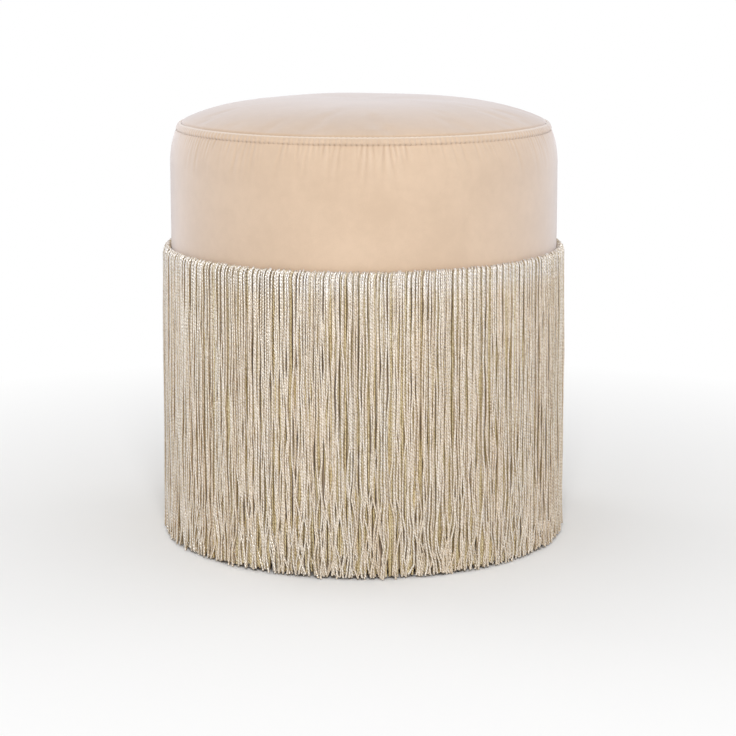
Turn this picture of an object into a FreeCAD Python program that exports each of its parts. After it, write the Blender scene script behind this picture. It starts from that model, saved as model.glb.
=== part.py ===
"""Round tuffet: a velvet seat on a boarded drum, with a long cord fringe hung round it.

Millimetres. +Z is up, the origin is on the floor below the middle, and -Y is the front.
The drum is two round boards held apart by four posts and wrapped in a thin bent shell. Side
wadding, a foam slab and a crowned wadding pad give it its shape. The velvet is a round top
panel sewn to a side band, which is turned under the base board and stapled. The fringe hangs
from a woven tape glued to the band: each cord starts behind the tape and folds over its top.
"""

import FreeCAD
import Part
import math
import os

from FreeCAD import Vector

# Clearances
FIT = 0.1  # between nested layers, and round threads, staples and screws

# Boards and posts
BOARD_RADIUS = 172.5
BASE_BOARD = 16.0
SEAT_BOARD = 16.0
POST_LENGTH = 302.0
POST_WIDTH = 45.0  # along the board's edge
POST_DEPTH = 25.0  # towards the middle

# Wood screws that hold the boards to the posts, two to each end
SCREW_LENGTH = 45.0
SCREW_RADIUS = 2.0
SCREW_HEAD_RADIUS = 4.0
SCREW_HEAD = 2.6
SCREW_TIP = 5.0
SCREW_SPACING = 20.0
RECESS_WIDTH = 0.8
RECESS_SPAN = 4.4
RECESS_DEPTH = 1.4

# Bent shell round the boards, with its butt joint on the back post
SHELL = 3.0
SHELL_JOINT = 1.0

# Staples
STAPLE_WIRE = 0.6
STAPLE_CROWN = 10.0
STAPLE_GRIP = 7.0  # length of leg in the board
SHELL_STAPLES = 16  # in each of two rows
COVER_STAPLES = 24  # in the hem, and again in the dust cover
STAPLE_ROOM = STAPLE_WIRE + FIT

# Padding
SIDE_WADDING = 5.2
SEAT_FOAM = 45.0
EDGE_WADDING = 4.0  # thickness of the crowned pad at the rim

# Velvet cover
VELVET = 1.2
RIM_INSET = 9.0  # how far the side leans in at the rim
SHOULDER_HEIGHT = 37.0
CROWN_RISE = 21.0
CROWN_POWER = 4  # a high power keeps the top flat and turns it down near the rim
CROWN_POINTS = 8
STITCH_DROP = 7.0  # from the rim down to the row of topstitching
THREAD = 0.8
SEAM_WIDTH = 1.0
SEAM_DEPTH = 0.5
HEM_ROUND = 3.0
HEM_TURN = 30.0
HEM_STAPLE_INSET = 20.0

# Underside
DUST_COVER = 0.5
DUST_COVER_INSET = 1.5  # from the board's edge
DUST_STAPLE_INSET = 5.0
GLIDE_HEIGHT = 5.0
GLIDE_RADIUS = 14.0
GLIDE_FOOT_RADIUS = 12.0
GLIDE_INSET = 32.5  # from the board's edge to the middle of a glide
GLIDE_BOSS_RADIUS = 5.5  # goes up through the dust cover to the board
GLIDE_WELL_RADIUS = 5.0
GLIDE_WELL = 2.6
GLIDE_SCREW_LENGTH = 14.0
GLIDE_SCREW_RADIUS = 1.75
GLIDE_SCREW_HEAD_RADIUS = 3.8
GLIDE_SCREW_HEAD = 2.0

# Fringe
CORD = 2.0
CORD_GAP = 0.06  # between neighbours where they are sewn to the tape
FRINGE_TOP = 276.5
FRINGE_END = 2.5
FRINGE_STAGGER = 5.0  # how unevenly the ends are cut
FRINGE_FLARE = 3.0  # how far the ends hang out from the top
ROW_STEP = 1.8
ROOT_LEG = 8.0
TAPE = 0.8
TAPE_HEIGHT = 12.0
GLUE_END_GAP = 0.2

# Heights, from the floor up
DUST_TOP = GLIDE_HEIGHT + DUST_COVER
HEM_BOTTOM = DUST_TOP + STAPLE_ROOM
BASE_BOTTOM = HEM_BOTTOM + VELVET
BASE_TOP = BASE_BOTTOM + BASE_BOARD
SEAT_BOTTOM = BASE_TOP + POST_LENGTH
SEAT_TOP = SEAT_BOTTOM + SEAT_BOARD
FOAM_TOP = SEAT_TOP + SEAT_FOAM
RIM_HEIGHT = FOAM_TOP + EDGE_WADDING + VELVET
CROWN_TOP = RIM_HEIGHT + CROWN_RISE
SHOULDER_BOTTOM = RIM_HEIGHT - SHOULDER_HEIGHT

# Radii, from the boards out
GLIDE_CIRCLE = BOARD_RADIUS - GLIDE_INSET
DUST_COVER_RADIUS = BOARD_RADIUS - DUST_COVER_INSET
SHELL_INNER = BOARD_RADIUS + FIT
SHELL_OUTER = SHELL_INNER + SHELL
WADDING_INNER = SHELL_OUTER + STAPLE_ROOM
WADDING_OUTER = WADDING_INNER + SIDE_WADDING
LINING = VELVET + FIT  # from the outside of the velvet to the padding
SEAT_RADIUS = WADDING_OUTER + LINING
SHOULDER_RADIUS = (RIM_INSET**2 + SHOULDER_HEIGHT**2) / (2 * RIM_INSET)
RIM_ANGLE = math.asin(SHOULDER_HEIGHT / SHOULDER_RADIUS)
ROOT_RADIUS = SEAT_RADIUS + 2 * FIT + CORD / 2
TAPE_INNER = ROOT_RADIUS + CORD / 2 + FIT
TAPE_OUTER = TAPE_INNER + TAPE
INNER_ROW_RADIUS = TAPE_OUTER + FIT + CORD / 2
OUTER_ROW_RADIUS = INNER_ROW_RADIUS + ROW_STEP
FOLD_CENTRE = FRINGE_TOP - CORD / 2 - (OUTER_ROW_RADIUS - ROOT_RADIUS) / 2
CORDS_PER_ROW = int(math.pi * ROOT_RADIUS / (CORD + CORD_GAP))

QUARTER_TURN = 90
POST_SIDES = {"right": 0, "back": 90, "left": 180, "front": 270}
GLIDE_CORNERS = {"back_right": 45, "back_left": 135, "front_left": 225, "front_right": 315}
BACK = 90  # direction of the two closing joints, in degrees from +X
GOLDEN = (math.sqrt(5) - 1) / 2  # spreads the cut ends evenly with no repeat


def at(radius, height):
    """A point of a profile, in the XZ plane."""
    return Vector(radius, 0, height)


def line(*points):
    """Straight edges through the points."""
    return [Part.makeLine(a, b) for a, b in zip(points, points[1:])]


def arc(start, middle, end):
    return [Part.Arc(start, middle, end).toShape()]


def corner(centre, radius, from_degrees, to_degrees):
    """An arc of a profile about a centre."""
    angles = [from_degrees, (from_degrees + to_degrees) / 2, to_degrees]
    return arc(*[centre + turned(radius, a) for a in angles])


def turned(radius, degrees):
    """The step of that length in a profile, at that angle above the horizontal."""
    return at(radius * math.cos(math.radians(degrees)), radius * math.sin(math.radians(degrees)))


def lathe(edges, sweep=360):
    """The solid that a closed profile makes as it turns about Z."""
    face = Part.Face(Part.Wire(Part.__sortEdges__(edges)))
    return face.revolve(Vector(0, 0, 0), Vector(0, 0, 1), sweep)


def ring(inner, outer, bottom, top):
    """A plain tube or washer about Z."""
    outline = [at(inner, bottom), at(outer, bottom), at(outer, top), at(inner, top), at(inner, bottom)]
    return lathe(line(*outline))


def disc(radius, bottom, top):
    return Part.makeCylinder(radius, top - bottom, Vector(0, 0, bottom))


def block(x, y, z, centre):
    """A box with its middle at a point."""
    return Part.makeBox(x, y, z, centre - Vector(x / 2, y / 2, z / 2))


def spun(shape, degrees):
    """A copy turned about Z."""
    copy = shape.copy()
    copy.rotate(Vector(0, 0, 0), Vector(0, 0, 1), degrees)
    return copy


def round_the_drum(shape, count, first=0.0):
    """Evenly spaced copies about Z."""
    return [spun(shape, first + i * 360 / count) for i in range(count)]


def save(name, shapes):
    """Writes one piece, or a group of like pieces, as one file."""
    solids = [s for shape in shapes for s in shape.Solids]
    whole = solids[0] if len(solids) == 1 else Part.makeCompound(solids)
    whole.exportStep(os.path.join("parts", name + ".step"))
    print(f"{name}: {len(solids)} solid(s), {whole.Volume / 1000:.1f} cm3")


# Screws

def wood_screw(room=0.0):
    """A countersunk screw that points up from z = 0. Room makes the hole that it fits."""
    shank = SCREW_RADIUS + room
    head = SCREW_HEAD_RADIUS + room
    shank_end = SCREW_LENGTH - SCREW_TIP
    screw = lathe(line(
        at(0, 0), at(head, 0), at(shank, SCREW_HEAD),
        at(shank, shank_end), at(0, SCREW_LENGTH + room), at(0, 0),
    ))
    if room:
        return screw
    return screw.cut([cross_recess(RECESS_SPAN, RECESS_WIDTH), cross_recess(RECESS_WIDTH, RECESS_SPAN)])


def cross_recess(x, y):
    return block(x, y, 2 * RECESS_DEPTH, Vector(0, 0, 0))


def post_centre():
    """Distance from the middle to a post: its outer corners just clear the shell."""
    outer_face = math.sqrt(BOARD_RADIUS**2 - (POST_WIDTH / 2)**2)
    return outer_face - POST_DEPTH / 2


def board_screws(from_below, room=0.0):
    """The eight screws of one board, driven up from its underside or down from its top."""
    screw = wood_screw(room)
    if not from_below:
        screw.rotate(Vector(0, 0, 0), Vector(1, 0, 0), 180)
    height = BASE_BOTTOM if from_below else SEAT_TOP
    pair = []
    for side in (-1, 1):
        one = screw.copy()
        one.translate(Vector(post_centre(), side * SCREW_SPACING / 2, height))
        pair.append(one)
    return [spun(one, degrees) for degrees in POST_SIDES.values() for one in pair]


def glide_screw(room=0.0):
    """A pan-head screw in the well of a glide at +X, pointing up."""
    head_bottom = GLIDE_WELL - GLIDE_SCREW_HEAD
    end = GLIDE_WELL + GLIDE_SCREW_LENGTH
    shank = GLIDE_SCREW_RADIUS + room
    screw = lathe(line(
        at(0, head_bottom), at(GLIDE_SCREW_HEAD_RADIUS, head_bottom), at(GLIDE_SCREW_HEAD_RADIUS, GLIDE_WELL),
        at(shank, GLIDE_WELL), at(shank, end - 2 * shank), at(0, end + room), at(0, head_bottom),
    ))
    screw.translate(Vector(GLIDE_CIRCLE, 0, 0))
    return screw


def glide_screws(room=0.0):
    return [spun(glide_screw(room), degrees) for degrees in GLIDE_CORNERS.values()]


# Staples

def staple(leg):
    """A staple with its crown under z = 0, along Y, and its legs pointing up."""
    crown = block(STAPLE_WIRE, STAPLE_CROWN, STAPLE_WIRE, Vector(0, 0, -STAPLE_WIRE / 2))
    reach = (STAPLE_CROWN - STAPLE_WIRE) / 2
    legs = [block(STAPLE_WIRE, STAPLE_WIRE, leg, Vector(0, side * reach, leg / 2)) for side in (-1, 1)]
    return crown.fuse(legs).removeSplitter()


def shell_staples():
    """Two rows, through the shell into the edge of each board."""
    one = staple(SHELL + FIT + STAPLE_GRIP)
    one.rotate(Vector(0, 0, 0), Vector(0, 1, 0), -QUARTER_TURN)
    one.translate(Vector(SHELL_OUTER, 0, 0))
    first = 180 / SHELL_STAPLES
    row = round_the_drum(one, SHELL_STAPLES, first)
    heights = (BASE_BOTTOM + BASE_BOARD / 2, SEAT_TOP - SEAT_BOARD / 2)
    return [s.translated(Vector(0, 0, height)) for height in heights for s in row]


def hem_staples():
    """Through the turned-under velvet into the base board."""
    one = staple(VELVET + STAPLE_GRIP)
    one.translate(Vector(SEAT_RADIUS - HEM_STAPLE_INSET, 0, HEM_BOTTOM))
    return round_the_drum(one, COVER_STAPLES, 180 / COVER_STAPLES)


def dust_cover_staples():
    """Through the dust cover and the velvet into the base board."""
    one = staple(BASE_BOTTOM - GLIDE_HEIGHT + STAPLE_GRIP)
    one.translate(Vector(DUST_COVER_RADIUS - DUST_STAPLE_INSET, 0, GLIDE_HEIGHT))
    return round_the_drum(one, COVER_STAPLES)


# Drum

def post():
    """The post on the +X side, between the boards."""
    middle = Vector(post_centre(), 0, (BASE_TOP + SEAT_BOTTOM) / 2)
    return block(POST_DEPTH, POST_WIDTH, POST_LENGTH, middle)


def make_drum():
    base_holes = board_screws(True, FIT)
    seat_holes = board_screws(False, FIT)
    shell_pins = shell_staples()
    base_pins = hem_staples() + dust_cover_staples()
    base = disc(BOARD_RADIUS, BASE_BOTTOM, BASE_TOP)
    base = base.cut(base_holes + glide_screws(FIT) + base_pins + shell_pins)
    seat = disc(BOARD_RADIUS, SEAT_BOTTOM, SEAT_TOP).cut(seat_holes + shell_pins)
    save("base_board", [base])
    save("seat_board", [seat])
    for side, degrees in POST_SIDES.items():
        save(side + "_post", [spun(post(), degrees).cut(base_holes + seat_holes)])
    save("base_board_screws", board_screws(True))
    save("seat_board_screws", board_screws(False))

    joint = spun(block(2 * SHELL_OUTER, SHELL_JOINT, SEAT_TOP, Vector(SHELL_OUTER, 0, SEAT_TOP / 2)), BACK)
    shell = ring(SHELL_INNER, SHELL_OUTER, BASE_BOTTOM, SEAT_TOP).cut([joint] + shell_pins)
    save("side_shell", [shell])
    save("shell_staples", shell_pins)


# Padding and cover

def shoulder(inset, degrees):
    """A point on the rounded shoulder, that far inside the velvet's outer face."""
    centre = at(SEAT_RADIUS - SHOULDER_RADIUS, SHOULDER_BOTTOM)
    return centre + turned(SHOULDER_RADIUS - inset, degrees)


def shoulder_arc(inset, from_degrees, to_degrees):
    return arc(*[shoulder(inset, a) for a in (from_degrees, (from_degrees + to_degrees) / 2, to_degrees)])


def crown(edge, top):
    """The domed line from the axis out to a point at the rim."""
    def point(share):
        return at(share * edge.x, edge.z + (top - edge.z) * (1 - share**CROWN_POWER))

    slope = -CROWN_POWER * (top - edge.z) / edge.x
    spline = Part.BSplineCurve()
    spline.interpolate(
        Points=[point(i / (CROWN_POINTS - 1)) for i in range(CROWN_POINTS)],
        InitialTangent=Vector(1, 0, 0),
        FinalTangent=Vector(1, 0, slope),
    )
    return [spline.toShape()]


def make_padding():
    corner_height = HEM_BOTTOM + HEM_ROUND
    save("side_wadding", [ring(WADDING_INNER, WADDING_OUTER, corner_height, SEAT_TOP)])

    foam_angle = math.degrees(math.asin((FOAM_TOP - SHOULDER_BOTTOM) / (SHOULDER_RADIUS - LINING)))
    foam_edge = shoulder(LINING, foam_angle)
    foam_side = shoulder(LINING, 0)
    save("seat_foam", [lathe(
        line(foam_edge, at(0, FOAM_TOP), at(0, SEAT_TOP), at(foam_side.x, SEAT_TOP), foam_side)
        + shoulder_arc(LINING, 0, foam_angle)
    )])

    rim_angle = math.degrees(RIM_ANGLE)
    rim = shoulder(LINING, rim_angle)
    top = at(0, CROWN_TOP - LINING)
    save("crown_wadding", [lathe(
        crown(rim, top.z)
        + line(top, at(0, FOAM_TOP), foam_edge)
        + shoulder_arc(LINING, foam_angle, rim_angle)
    )])


def thread_ring(radius):
    """The row of topstitching, or the groove that it lies in."""
    stitch_angle = RIM_ANGLE - STITCH_DROP / SHOULDER_RADIUS
    centre = shoulder(0, math.degrees(stitch_angle))
    return Part.makeTorus(centre.x, radius, Vector(0, 0, centre.z))


def back_seam():
    """The groove where the two ends of the side band are sewn together."""
    rim_angle = math.degrees(RIM_ANGLE)
    corner_height = HEM_BOTTOM + HEM_ROUND
    outside = SEAT_RADIUS + SEAM_DEPTH
    inside = SEAT_RADIUS - SEAM_DEPTH
    width = math.degrees(SEAM_WIDTH / SEAT_RADIUS)
    outer_line = line(at(outside, corner_height), shoulder(-SEAM_DEPTH, 0))
    outer_line += shoulder_arc(-SEAM_DEPTH, 0, rim_angle)
    inner_line = line(at(inside, corner_height), shoulder(SEAM_DEPTH, 0))
    inner_line += shoulder_arc(SEAM_DEPTH, 0, rim_angle)
    ends = line(at(inside, corner_height), at(outside, corner_height))
    ends += line(shoulder(SEAM_DEPTH, rim_angle), shoulder(-SEAM_DEPTH, rim_angle))
    groove = lathe(outer_line + inner_line + ends, width)
    return spun(groove, BACK - width / 2)


def make_cover():
    rim_angle = math.degrees(RIM_ANGLE)
    rim = shoulder(0, rim_angle)
    rim_inside = shoulder(VELVET, rim_angle)
    top = at(0, CROWN_TOP)
    top_inside = at(0, CROWN_TOP - VELVET)
    save("top_panel", [lathe(
        crown(rim, top.z) + line(rim, rim_inside) + crown(rim_inside, top_inside.z) + line(top_inside, top)
    )])

    hem_centre = at(SEAT_RADIUS - HEM_ROUND, HEM_BOTTOM + HEM_ROUND)
    hem_edge = SEAT_RADIUS - HEM_TURN
    band = lathe(
        shoulder_arc(0, rim_angle, 0)
        + line(shoulder(0, 0), hem_centre + at(HEM_ROUND, 0))
        + corner(hem_centre, HEM_ROUND, 0, -QUARTER_TURN)
        + line(at(hem_centre.x, HEM_BOTTOM), at(hem_edge, HEM_BOTTOM), at(hem_edge, BASE_BOTTOM),
               at(hem_centre.x, BASE_BOTTOM))
        + corner(hem_centre, HEM_ROUND - VELVET, -QUARTER_TURN, 0)
        + line(hem_centre + at(HEM_ROUND - VELVET, 0), shoulder(VELVET, 0))
        + shoulder_arc(VELVET, 0, rim_angle)
        + line(rim_inside, rim)
    )
    pins = hem_staples() + dust_cover_staples()
    save("side_band", [band.cut([thread_ring(THREAD / 2 + FIT), back_seam()] + pins)])
    save("rim_topstitch", [thread_ring(THREAD / 2)])
    save("hem_staples", hem_staples())


# Underside

def glide():
    """A plastic foot at +X, with a well for its screw and a boss that bears on the board."""
    hole = GLIDE_SCREW_RADIUS + FIT
    foot = lathe(line(
        at(GLIDE_WELL_RADIUS, 0), at(GLIDE_FOOT_RADIUS, 0), at(GLIDE_RADIUS, GLIDE_HEIGHT),
        at(GLIDE_BOSS_RADIUS, GLIDE_HEIGHT), at(GLIDE_BOSS_RADIUS, BASE_BOTTOM), at(hole, BASE_BOTTOM),
        at(hole, GLIDE_WELL), at(GLIDE_WELL_RADIUS, GLIDE_WELL), at(GLIDE_WELL_RADIUS, 0),
    ))
    return foot.translated(Vector(GLIDE_CIRCLE, 0, 0))


def glide_bosses(room):
    """The holes in the dust cover that the bosses go through."""
    boss = disc(GLIDE_BOSS_RADIUS + room, GLIDE_HEIGHT, DUST_TOP).translated(Vector(GLIDE_CIRCLE, 0, 0))
    return [spun(boss, degrees) for degrees in GLIDE_CORNERS.values()]


def make_underside():
    cover = disc(DUST_COVER_RADIUS, GLIDE_HEIGHT, DUST_TOP)
    save("dust_cover", [cover.cut(glide_bosses(FIT) + dust_cover_staples())])
    save("dust_cover_staples", dust_cover_staples())
    for place, degrees in GLIDE_CORNERS.items():
        save(place + "_glide", [spun(glide(), degrees)])
    save("glide_screws", glide_screws())


# Fringe

def cord(row_radius, end_height):
    """One cord at +X: up behind the tape, over its top, and down to the floor with a slight lean out."""
    bend = (row_radius - ROOT_RADIUS) / 2
    centre = at(ROOT_RADIUS + bend, FOLD_CENTRE)
    lean = math.degrees(math.atan2(FRINGE_FLARE, FOLD_CENTRE - end_height))
    root = at(ROOT_RADIUS, FOLD_CENTRE - ROOT_LEG)
    fold_start = at(ROOT_RADIUS, FOLD_CENTRE)
    fold_end = centre + turned(bend, lean)
    drop = (fold_end.z - end_height) / math.cos(math.radians(lean))
    end = fold_end + turned(drop, lean - QUARTER_TURN)
    path = line(root, fold_start) + corner(centre, bend, 180, lean) + line(fold_end, end)
    section = Part.Wire(Part.makeCircle(CORD / 2, root, Vector(0, 0, 1)))
    return Part.Wire(path).makePipeShell([section], True, False)


def cord_row(row_radius, first):
    """A full row of cords. Each one's end is cut at its own height."""
    cords = []
    for i in range(CORDS_PER_ROW):
        cut = (i * GOLDEN) % 1
        one = cord(row_radius, FRINGE_END + FRINGE_STAGGER * cut)
        cords.append(spun(one, first + i * 360 / CORDS_PER_ROW))
    return cords


def make_fringe():
    tape_bottom = FOLD_CENTRE - TAPE_HEIGHT
    save("fringe_tape", [ring(TAPE_INNER, TAPE_OUTER, tape_bottom, FOLD_CENTRE)])
    glue_top = FOLD_CENTRE - ROOT_LEG - GLUE_END_GAP
    save("tape_glue_bead", [ring(SEAT_RADIUS + FIT, TAPE_INNER, tape_bottom + GLUE_END_GAP, glue_top)])
    save("fringe_inner_row", cord_row(INNER_ROW_RADIUS, 0))
    save("fringe_outer_row", cord_row(OUTER_ROW_RADIUS, 180 / CORDS_PER_ROW))


os.makedirs("parts", exist_ok=True)
make_drum()
make_padding()
make_cover()
make_underside()
make_fringe()
print(f"seat {2 * SEAT_RADIUS:.1f} across, {CROWN_TOP:.1f} high; {2 * CORDS_PER_ROW} cords")
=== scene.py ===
# %% [markdown]
# # A velvet tuffet with a cord fringe
# A tuffet is a low round stool. This one is a drum with a domed velvet seat. A long fringe of twisted
# silky cords hangs round it down to the floor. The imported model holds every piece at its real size.
# This script gives them their looks: gathered velvet, stitches, cords that sway, and finishes.

import functools
import math
from types import SimpleNamespace

import bmesh
import bpy
import numpy as np
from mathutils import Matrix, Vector


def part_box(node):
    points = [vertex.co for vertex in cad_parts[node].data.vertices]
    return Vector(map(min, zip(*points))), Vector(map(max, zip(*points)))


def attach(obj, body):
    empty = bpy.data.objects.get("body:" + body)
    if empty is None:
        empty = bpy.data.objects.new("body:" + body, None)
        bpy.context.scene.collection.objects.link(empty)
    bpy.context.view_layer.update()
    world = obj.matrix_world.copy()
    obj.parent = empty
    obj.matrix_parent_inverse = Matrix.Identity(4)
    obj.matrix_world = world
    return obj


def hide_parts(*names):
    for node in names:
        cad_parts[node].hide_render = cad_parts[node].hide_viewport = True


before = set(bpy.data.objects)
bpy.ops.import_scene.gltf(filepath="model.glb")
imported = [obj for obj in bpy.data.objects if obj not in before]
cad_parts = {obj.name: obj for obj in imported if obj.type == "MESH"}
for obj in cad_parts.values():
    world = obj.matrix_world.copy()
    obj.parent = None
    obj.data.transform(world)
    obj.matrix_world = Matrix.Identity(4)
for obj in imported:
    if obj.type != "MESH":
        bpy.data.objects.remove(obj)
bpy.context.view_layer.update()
scene = bpy.context.scene
print(f"{len(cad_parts)} nodes in the frame")

# %% [markdown]
# ## Sizes from the frame
# Nothing is fitted afterwards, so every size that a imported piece's box tells is read from the frame.
# Only what no box tells, such as how deep a stitch sinks in, is a number of this script.

# %% Sizes of the cover and the fringe
MM = 0.001
FULL_TURN = 2 * math.pi
band_low, band_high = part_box("side_band")
top_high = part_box("top_panel")[1]
tape_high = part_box("fringe_tape")[1]
SEAT_RADIUS = band_high.x
RIM_HEIGHT = band_high.z
RIM_RADIUS = top_high.x
CROWN_TOP = top_high.z
HEM_BOTTOM = band_low.z
FRINGE_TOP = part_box("fringe_outer_row")[1].z
TAPE_THICKNESS = 0.8 * MM
print(f"seat radius {SEAT_RADIUS:.4f} m, rim at {RIM_HEIGHT:.4f} m, crown top at {CROWN_TOP:.4f} m")

# %% [markdown]
# ## Camera
# The photograph was taken from about two metres away, a little above the seat, with a long lens.
# Its pitch and lens were worked out from the rim and the fringe, whose true sizes are known.
# A lens shift lifts the picture, as if it were cut from the lower part of a taller one.

# %% Set the camera
IMAGE_SIDE = 736
FOCAL_PIXELS = 2135
SENSOR = 36.0
CAMERA_DISTANCE = 2.017
CAMERA_HEIGHT = 0.565
CAMERA_SIDE = 4.0 * MM
PITCH = math.radians(9.57)
LIFT_PIXELS = 73.6


def set_all(thing, **values):
    for key, value in values.items():
        setattr(thing, key, value)


def add_object(name, data):
    """Puts a new object with this mesh, camera or lamp in the scene."""
    added = bpy.data.objects.new(name, data)
    scene.collection.objects.link(added)
    return added


def add_camera():
    data = bpy.data.cameras.new("photo_camera")
    set_all(data, sensor_width=SENSOR, lens=FOCAL_PIXELS * SENSOR / IMAGE_SIDE)
    data.shift_y = -LIFT_PIXELS / IMAGE_SIDE
    camera = add_object("photo_camera", data)
    camera.location = (CAMERA_SIDE, -CAMERA_DISTANCE, CAMERA_HEIGHT)
    camera.rotation_euler = (math.pi / 2 - PITCH, 0, 0)
    scene.camera = camera
    print(f"camera with a {data.lens:.1f} mm lens")


add_camera()

# %% [markdown]
# ## Wiring nodes
# Materials and Geometry Nodes trees are both made of nodes joined by links. This small helper adds a
# node, fills its inputs from numbers or from other nodes, and hands back the result, so that a tree
# reads like a sum.


# %% A helper that adds and links nodes
class Wiring:
    """Adds nodes to a tree. An input may be a number, a colour, or another node's output."""

    def __init__(self, tree):
        self.tree = tree

    def plug(self, socket, value):
        if isinstance(value, bpy.types.NodeSocket):
            self.tree.links.new(value, socket)
        else:
            socket.default_value = value

    def add(self, kind, inputs=(), **settings):
        node = self.tree.nodes.new(kind)
        set_all(node, **settings)
        for key, value in dict(inputs).items():
            self.plug(node.inputs[key], value)
        return node

    def make(self, kind, inputs=(), **settings):
        """Adds a node and hands back its first output."""
        return self.add(kind, inputs, **settings).outputs[0]

    def shape(self, kind, **inputs):
        """A node of a Geometry Nodes tree. An underscore stands for a space in an input's name."""
        return self.make("GeometryNode" + kind, {key.replace("_", " "): inputs[key] for key in inputs})

    def math(self, operation, *values):
        return self.make("ShaderNodeMath", enumerate(values), operation=operation)

    def along(self, operation, *vectors):
        """A number worked out from vectors, such as a length or how far one points along another."""
        return self.add("ShaderNodeVectorMath", enumerate(vectors), operation=operation).outputs["Value"]

    def total(self, *values):
        return functools.reduce(lambda first, second: self.math("ADD", first, second), values)

    def product(self, *values):
        return functools.reduce(lambda first, second: self.math("MULTIPLY", first, second), values)

    def minus(self, first, second):
        return self.math("SUBTRACT", first, second)

    def scaled(self, value, factor, offset):
        """The value times a factor, plus an offset."""
        return self.math("MULTIPLY_ADD", value, factor, offset)

    def ramp(self, value, start, end, low=0.0, high=1.0, smooth=True):
        """Goes from low to high as value goes from start to end."""
        inputs = {"Value": value, "From Min": start, "From Max": end, "To Min": low, "To Max": high}
        steps = "SMOOTHSTEP" if smooth else "LINEAR"
        return self.make("ShaderNodeMapRange", inputs, interpolation_type=steps)

    def vector(self, x=0.0, y=0.0, z=0.0):
        return self.make("ShaderNodeCombineXYZ", {"X": x, "Y": y, "Z": z})

    def parts(self, vector):
        """The X, Y and Z of a vector."""
        return self.add("ShaderNodeSeparateXYZ", {0: vector}).outputs

    def noise(self, place, scale=1.0, detail=2.0, roughness=0.5):
        inputs = {"Vector": place, "Scale": scale, "Detail": detail, "Roughness": roughness}
        return self.make("ShaderNodeTexNoise", inputs)

    def unsmoothed(self, *parts):
        """A random number from 0 to 1 for each place, with no smooth steps between."""
        return self.make("ShaderNodeTexWhiteNoise", {"Vector": self.vector(*parts)})

    def attribute(self, name, output="Fac"):
        return self.add("ShaderNodeAttribute", attribute_name=name).outputs[output]

    def mix(self, factor, first, second, blend="MIX"):
        node = self.add("ShaderNodeMix", {0: factor, 6: first, 7: second}, data_type="RGBA", blend_type=blend)
        return node.outputs[2]

    def tint(self, colour, dye):
        """A colour multiplied by a darker one, for dyes and random tones, and for painted glints and painted
        shade.
        """
        return self.mix(1.0, colour, dye, "MULTIPLY")


# %% [markdown]
# ## Starting a material
# A colour is written here the way a paint chart shows it, from 0 to 255, and changed to the linear
# values that a renderer works with. Each material then adds its own weave, grain or pile, which is
# worked out from where a point lies, so nothing stretches.


# %% Colours and a new material
def chart(red, green, blue):
    """A colour written as on a screen, as linear light with full cover."""
    def linear(value):
        share = value / 255
        return share / 12.92 if share <= 0.04045 else ((share + 0.055) / 1.055) ** 2.4

    return (linear(red), linear(green), linear(blue), 1.0)


WHITE = chart(255, 255, 255)


class Paint(Wiring):
    """Wires a new material with a Principled shader. Settings are the shader's own sockets."""

    def __init__(self, name, **settings):
        self.material = bpy.data.materials.new(name)
        self.material.use_nodes = True
        super().__init__(self.material.node_tree)
        self.shader = self.tree.nodes["Principled BSDF"]
        for key, value in settings.items():
            self.shader.inputs[key.replace("_", " ")].default_value = value
        self.place = self.add("ShaderNodeTexCoord").outputs["Object"]

    def finish(self, colour, height, strength, distance):
        """Plugs in the colour and a bump, and hands back the material."""
        self.plug(self.shader.inputs["Base Color"], colour)
        bump = self.make("ShaderNodeBump", {"Height": height, "Strength": strength, "Distance": distance})
        self.plug(self.shader.inputs["Normal"], bump)
        return self.material


# %% [markdown]
# ## Velvet
# Velvet is a short upright pile. Seen face on it shows its deep colour, and at a glancing angle the tips
# of the pile catch the light, so the sides of the drum look paler and greyer. Sheen does just that.
# Very fine noise makes the pile, and broad soft noise makes the patches where it leans another way.
# The mesh carries an attribute that paints light and shade into the colour: from 0 up to 1 it is painted
# shade, deep in a crease, a stitch hole or the seam, where little light gets to, and down to -1 it is a
# painted highlight, along a sharp fold and the rolled edge.


# %% Velvet material
VELVET_DEEP = chart(206, 180, 154)
VELVET_PALE = chart(215, 189, 163)
# Painted shade in creases, stitch holes and the seam, and a painted highlight on sharp folds and the rolled
# edge.
PAINTED_CREASE_SHADE = chart(146, 116, 88)
PAINTED_RIDGE_HIGHLIGHT = chart(246, 230, 210)


def velvet_material():
    w = Paint("velvet", Roughness=0.9, Sheen_Weight=0.75, Sheen_Roughness=0.56,
              Sheen_Tint=chart(236, 240, 252), Specular_IOR_Level=0.15)
    leaning = w.noise(w.place, scale=16.0, detail=3.0)
    brushed = w.noise(w.place, scale=120.0)
    pile = w.noise(w.place, scale=1900.0)
    tone = w.total(w.product(leaning, 0.5), w.product(brushed, 0.2), w.product(pile, 0.3))
    colour = w.mix(w.ramp(tone, 0.36, 0.64), VELVET_DEEP, VELVET_PALE)
    # The attribute paints shade into the colour above 0, and a highlight below 0.
    crease = w.attribute("crease")
    colour = w.mix(w.math("MAXIMUM", crease, 0.0), colour, PAINTED_CREASE_SHADE)
    colour = w.mix(w.math("MAXIMUM", w.product(crease, -1.0), 0.0), colour, PAINTED_RIDGE_HIGHLIGHT)
    return w.finish(colour, pile, 0.25, 0.3 * MM)


velvet = velvet_material()
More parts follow.
